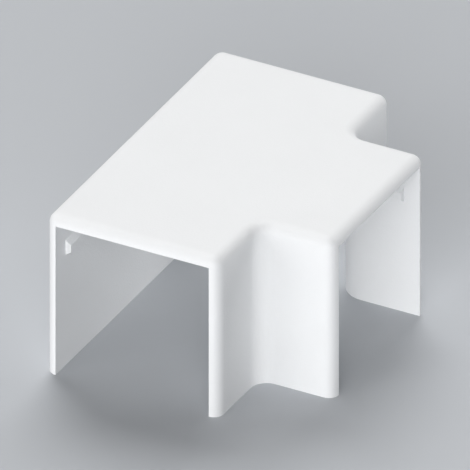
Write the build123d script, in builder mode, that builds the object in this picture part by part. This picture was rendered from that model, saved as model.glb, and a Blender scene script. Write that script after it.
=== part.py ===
from build123d import *
import os

# Trunking tee fitting: a one-piece moulded cover that snaps over the place where a branch of square
# cable trunking leaves a straight run, and hides the joint in the lids. Sizes are in millimetres.
# The wall that the trunking is fixed to is the plane z = 0, and +Z points away from it. The run's
# centre line is the X axis and the branch leaves towards -Y, so they cross at the origin.

# Trunking that the cover goes over, measured with its lid on
trunking_width = 40.0
trunking_height = 40.0

# Room between the trunking and the inside of the cover
side_clearance = 0.2
lid_clearance = 0.4

# Thickness of the moulding
side_wall = 2.6
top_plate = 2.6

# How far each arm stands out from the square where the run and the branch cross
run_arm = 20.2
branch_arm = 19.7

# Outside radius of the turn from a wall of the branch into a wall of the run
notch_round = 4.2

# Snap ribs, one on each side wall at each opening, that catch under the lid of the trunking
rib_drop = 6.4  # from the underside of the top plate to the rib
rib_height = 4.0  # at the wall
rib_tip_height = 1.9
rib_tip_drop = 1.1  # from the rib's upper edge at the wall to its upper edge at the tip
rib_reach = 1.4
rib_length = 10.0
run_rib_setback = 5.1  # from the opening to the rib
branch_rib_setback = 4.1

# Sizes that follow from these
inner_width = trunking_width + 2 * side_clearance
inner_height = trunking_height + lid_clearance
outer_width = inner_width + 2 * side_wall
outer_height = inner_height + top_plate
run_length = outer_width + 2 * run_arm
branch_end = outer_width / 2 + branch_arm
edge_round = min(side_wall, top_plate)  # rounds the outer edges over the whole wall
bend_round = notch_round + side_wall  # the wall keeps its thickness through the turn
rib_top = inner_height - rib_drop
rib_root = side_wall / 2  # how deep each rib is rooted in its wall
cut_past = side_wall  # how far the cut for the passage runs past each opening


def tee_outline(length, width, reach, corner_round):
    """A tee seen from above, with rounded corners where the branch leaves the run."""
    with BuildSketch() as outline:
        Rectangle(length, width)
        Rectangle(width, reach, align=(Align.CENTER, Align.MAX))
        beside_branch = outline.vertices().group_by(Axis.Y)[1].sort_by(lambda corner: abs(corner.X))
        fillet(beside_branch[:2], corner_round)
    return outline.sketch


# One plane in each opening: x runs across it, y is up and z points into the cover
left_opening = Plane(origin=(-run_length / 2, 0, 0), x_dir=(0, 1, 0), z_dir=(1, 0, 0))
right_opening = Plane(origin=(run_length / 2, 0, 0), x_dir=(0, -1, 0), z_dir=(-1, 0, 0))
branch_opening = Plane(origin=(0, -branch_end, 0), x_dir=(-1, 0, 0), z_dir=(0, 1, 0))

with BuildPart() as tee_cover:
    # Solid tee, with one continuous rounding along the top edges and down the ends of the walls
    add(tee_outline(run_length, outer_width, branch_end, notch_round))
    extrude(amount=outer_height)
    upright_edges = tee_cover.edges().filter_by(Axis.Z)
    run_end_edges = upright_edges.group_by(Axis.X)[0] + upright_edges.group_by(Axis.X)[-1]
    branch_end_edges = upright_edges.group_by(Axis.Y)[0]
    top_edges = tee_cover.faces().sort_by(Axis.Z)[-1].edges()
    fillet(top_edges + run_end_edges + branch_end_edges, edge_round)

    # Square passage for the trunking, open at the three ends and towards the wall
    add(tee_outline(run_length + 2 * cut_past, inner_width, branch_end + cut_past, bend_round))
    extrude(amount=inner_height, mode=Mode.SUBTRACT)

    # Snap ribs, each a bead with a sloped top and a sloped underside
    for rib_start in (
        left_opening.offset(run_rib_setback),
        right_opening.offset(run_rib_setback),
        branch_opening.offset(branch_rib_setback),
    ):
        with BuildSketch(rib_start):
            with BuildLine():
                Polyline(
                    (inner_width / 2 + rib_root, rib_top),
                    (inner_width / 2, rib_top),
                    (inner_width / 2 - rib_reach, rib_top - rib_tip_drop),
                    (inner_width / 2 - rib_reach, rib_top - rib_tip_drop - rib_tip_height),
                    (inner_width / 2, rib_top - rib_height),
                    (inner_width / 2 + rib_root, rib_top - rib_height),
                    close=True,
                )
            make_face()
            mirror(about=Plane.YZ)
        extrude(amount=rib_length)

tee_cover.part.label = "tee_cover"

os.makedirs("parts", exist_ok=True)
export_step(tee_cover.part, "parts/tee_cover.step")
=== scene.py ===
import math

import bpy
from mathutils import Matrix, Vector


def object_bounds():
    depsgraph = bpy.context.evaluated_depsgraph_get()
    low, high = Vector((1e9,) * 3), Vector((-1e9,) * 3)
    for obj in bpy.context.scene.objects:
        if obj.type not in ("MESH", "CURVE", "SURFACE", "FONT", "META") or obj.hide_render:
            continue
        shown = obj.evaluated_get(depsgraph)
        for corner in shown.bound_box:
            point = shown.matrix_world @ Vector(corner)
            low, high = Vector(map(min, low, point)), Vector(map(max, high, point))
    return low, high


# Trunking tee cover in rigid white PVC, standing on its wall rim on a pale studio floor.
# Lengths are in metres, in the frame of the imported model: the wall that the cover is fixed to is
# the plane z = 0, the run lies along X and the branch leaves towards -Y.

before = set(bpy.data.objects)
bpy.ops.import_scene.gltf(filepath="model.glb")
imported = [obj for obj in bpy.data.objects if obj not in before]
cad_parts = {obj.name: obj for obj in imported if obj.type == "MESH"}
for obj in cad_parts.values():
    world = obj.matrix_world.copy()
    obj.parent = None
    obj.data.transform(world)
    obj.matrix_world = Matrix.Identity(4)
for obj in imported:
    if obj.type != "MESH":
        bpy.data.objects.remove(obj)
cad_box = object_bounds()

MM = 0.001

# View of the photograph: a parallel view, solved from the straight edges of the cover
IMAGE_SIDE = 470.0  # pixels
PIXELS_PER_MM = 4.288
VIEW_FROM = (-62.19, 31.02)  # azimuth and elevation of the camera, in degrees
VIEW_AIM = Vector((0.92, -3.96, 21.5)) * MM  # point of the cover at the middle of the picture
CAMERA_DISTANCE = 0.6  # doesn't change a parallel view, as long as it clears the cover

# Lamps: azimuth and elevation of where each stands, in degrees, and its strength. Any stronger,
# and the roundings on the left turn pure white.
LAMPS = {
    "left_back_lamp": (-120, 12, 1.17),
    "left_front_lamp": (-70, 22, 1.94),
    "right_back_lamp": (120, 50, 2.20),
    "right_front_lamp": (60, 12, 0.93),
}
LAMP_SPREAD = math.radians(40)
SKY_STRENGTH = 0.02

# The floor, and the backdrop of the same grey behind it
BOARD_GREY = "#BEC1C5"
BOARD_ROUGHNESS = 0.9
FLOOR_SIDE = 4.0


def linear(hex_colour):
    """An sRGB hex colour as the linear RGBA that a shader takes."""
    channels = [int(hex_colour[i:i + 2], 16) / 255 for i in (1, 3, 5)]
    return [c / 12.92 if c <= 0.04045 else ((c + 0.055) / 1.055) ** 2.4 for c in channels] + [1.0]


def add_node(tree, kind, settings=None, inputs=None, links=None):
    """Adds a node: settings are its properties, inputs its sockets' values, links their sources."""
    node = tree.nodes.new(kind)
    for name, value in (settings or {}).items():
        setattr(node, name, value)
    for name, value in (inputs or {}).items():
        node.inputs[name].default_value = value
    for name, source in (links or {}).items():
        tree.links.new(source, node.inputs[name])
    return node


def new_material(name):
    """An empty material of that name, with its node tree."""
    material = bpy.data.materials.new(name)
    material.use_nodes = True
    material.node_tree.nodes.clear()
    return material, material.node_tree


def per_metre(size_mm):
    """The scale of a pattern whose features are that many millimetres wide."""
    return 1 / (size_mm * MM)


def white_pvc():
    """Rigid PVC, injection moulded in a spark-eroded mould.

    The mould leaves a fine grain of shallow pits, so the white has a soft sheen and mirrors
    nothing. The shrinking plastic leaves a faint waviness in the flat walls, the polish of the
    mould varies from place to place, and the pigment follows the flow of the melt, so the white
    isn't quite even.
    """
    # Sizes in millimetres. The real pits are about 0.1 mm wide and a few thousandths deep. They
    # are drawn as coarse as they need to be to show, and as deep in proportion.
    flow_width = 22
    sink_width = 14
    sink_depth = 0.05
    polish_width = 3
    pit_width = 0.45
    pit_depth = 0.03
    pit_softness = 0.6

    thin_white = linear("#EFF0F1")
    full_white = linear("#F3F4F5")
    refraction = 1.53  # of rigid PVC
    # The sheen is weaker and broader than usual, because the photograph hardly shows any and a
    # stronger one turns the plate pure white in low views
    sheen = 0.3
    smoothest = 0.66
    roughest = 0.74

    material, tree = new_material("rigid_pvc_white_moulded")
    place = add_node(tree, "ShaderNodeTexCoord").outputs["Object"]
    flow = add_node(
        tree, "ShaderNodeTexNoise",
        inputs={"Scale": per_metre(flow_width), "Detail": 2.0, "Roughness": 0.5},
        links={"Vector": place},
    )
    colour = add_node(
        tree, "ShaderNodeMix", {"data_type": "RGBA"},
        inputs={"A": thin_white, "B": full_white},
        links={"Factor": flow.outputs["Fac"]},
    )
    pits = add_node(
        tree, "ShaderNodeTexVoronoi", {"feature": "SMOOTH_F1"},
        inputs={"Scale": per_metre(pit_width), "Smoothness": pit_softness},
        links={"Vector": place},
    )
    sinks = add_node(
        tree, "ShaderNodeTexNoise",
        inputs={"Scale": per_metre(sink_width), "Detail": 1.0},
        links={"Vector": place},
    )
    wavy = add_node(
        tree, "ShaderNodeBump",
        inputs={"Distance": sink_depth * MM},
        links={"Height": sinks.outputs["Fac"]},
    )
    grained = add_node(
        tree, "ShaderNodeBump",
        inputs={"Distance": pit_depth * MM},
        links={"Height": pits.outputs["Distance"], "Normal": wavy.outputs["Normal"]},
    )
    polish = add_node(
        tree, "ShaderNodeTexNoise",
        inputs={"Scale": per_metre(polish_width), "Detail": 3.0},
        links={"Vector": place},
    )
    satin = add_node(
        tree, "ShaderNodeMapRange",
        inputs={"To Min": smoothest, "To Max": roughest},
        links={"Value": polish.outputs["Fac"]},
    )
    plastic = add_node(
        tree, "ShaderNodeBsdfPrincipled",
        inputs={"IOR": refraction, "Specular IOR Level": sheen},
        links={
            "Base Color": colour.outputs["Result"],
            "Roughness": satin.outputs["Result"],
            "Normal": grained.outputs["Normal"],
        },
    )
    add_node(tree, "ShaderNodeOutputMaterial", links={"Surface": plastic.outputs["BSDF"]})
    return material


def studio_floor():
    """Matt painted board, pale grey, so that the white cover stands out from it."""
    material, tree = new_material("matt_painted_board")
    board = add_node(
        tree, "ShaderNodeBsdfPrincipled",
        inputs={"Base Color": linear(BOARD_GREY), "Roughness": BOARD_ROUGHNESS},
    )
    add_node(tree, "ShaderNodeOutputMaterial", links={"Surface": board.outputs["BSDF"]})
    return material


def add_floor(level):
    """A wide square of board at that height. It belongs to the stage, not to the part."""
    half = FLOOR_SIDE / 2
    corners = [
        (-half, -half, level),
        (half, -half, level),
        (half, half, level),
        (-half, half, level),
    ]
    mesh = bpy.data.meshes.new("floor")
    mesh.from_pydata(corners, [], [(0, 1, 2, 3)])
    mesh.materials.append(studio_floor())
    floor = bpy.data.objects.new("floor", mesh)
    bpy.context.scene.collection.objects.link(floor)


def direction(azimuth_deg, elevation_deg):
    """Unit vector from the cover towards a place at that azimuth and elevation.

    Azimuth 0 is a place on the -Y side, which looks along +Y, and 90 is one on the +X side.
    """
    azimuth = math.radians(azimuth_deg)
    elevation = math.radians(elevation_deg)
    level = math.cos(elevation)
    return Vector((math.sin(azimuth) * level, -math.cos(azimuth) * level, math.sin(elevation)))


def add_lamp(name, azimuth, elevation, strength):
    """A far, broad lamp; its spread softens the shadows."""
    lamp = bpy.data.objects.new(name, bpy.data.lights.new(name, "SUN"))
    lamp.data.energy = strength
    lamp.data.angle = LAMP_SPREAD
    lamp.rotation_mode = "QUATERNION"
    lamp.rotation_quaternion = direction(azimuth, elevation).to_track_quat("Z", "Y")
    bpy.context.scene.collection.objects.link(lamp)


def add_sky():
    """Even white light from all round, and a backdrop wherever the floor doesn't reach."""
    world = bpy.data.worlds.new("studio")
    world.use_nodes = True
    tree = world.node_tree
    tree.nodes.clear()
    light = add_node(
        tree, "ShaderNodeBackground",
        inputs={"Color": linear("#FFFFFF"), "Strength": SKY_STRENGTH},
    )
    seen = add_node(tree, "ShaderNodeBackground", inputs={"Color": linear(BOARD_GREY)})
    path = add_node(tree, "ShaderNodeLightPath")
    mirrored = add_node(
        tree, "ShaderNodeMath", {"operation": "MAXIMUM"},
        links={0: path.outputs["Is Glossy Ray"], 1: path.outputs["Is Transmission Ray"]},
    )
    shown = add_node(
        tree, "ShaderNodeMath", {"operation": "MAXIMUM"},
        links={0: path.outputs["Is Camera Ray"], 1: mirrored.outputs["Value"]},
    )
    sky = add_node(
        tree, "ShaderNodeMixShader",
        links={
            0: shown.outputs["Value"],
            1: light.outputs["Background"],
            2: seen.outputs["Background"],
        },
    )
    add_node(tree, "ShaderNodeOutputWorld", links={"Surface": sky.outputs["Shader"]})
    bpy.context.scene.world = world


def add_camera():
    """The photograph's parallel view, with the same point of the cover at its middle."""
    back = direction(*VIEW_FROM)
    camera = bpy.data.objects.new("camera", bpy.data.cameras.new("camera"))
    camera.data.type = "ORTHO"
    camera.data.ortho_scale = IMAGE_SIDE / PIXELS_PER_MM * MM
    camera.location = VIEW_AIM + back * CAMERA_DISTANCE
    camera.rotation_mode = "QUATERNION"
    camera.rotation_quaternion = (-back).to_track_quat("-Z", "Y")
    bpy.context.scene.collection.objects.link(camera)
    bpy.context.scene.camera = camera


tee_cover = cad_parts["tee_cover"]
finish = white_pvc()
for slot in tee_cover.material_slots:
    slot.material = finish

add_floor(cad_box[0].z)
for lamp_name, lamp_values in LAMPS.items():
    add_lamp(lamp_name, *lamp_values)
add_sky()
add_camera()
bpy.context.scene.view_settings.view_transform = "Standard"
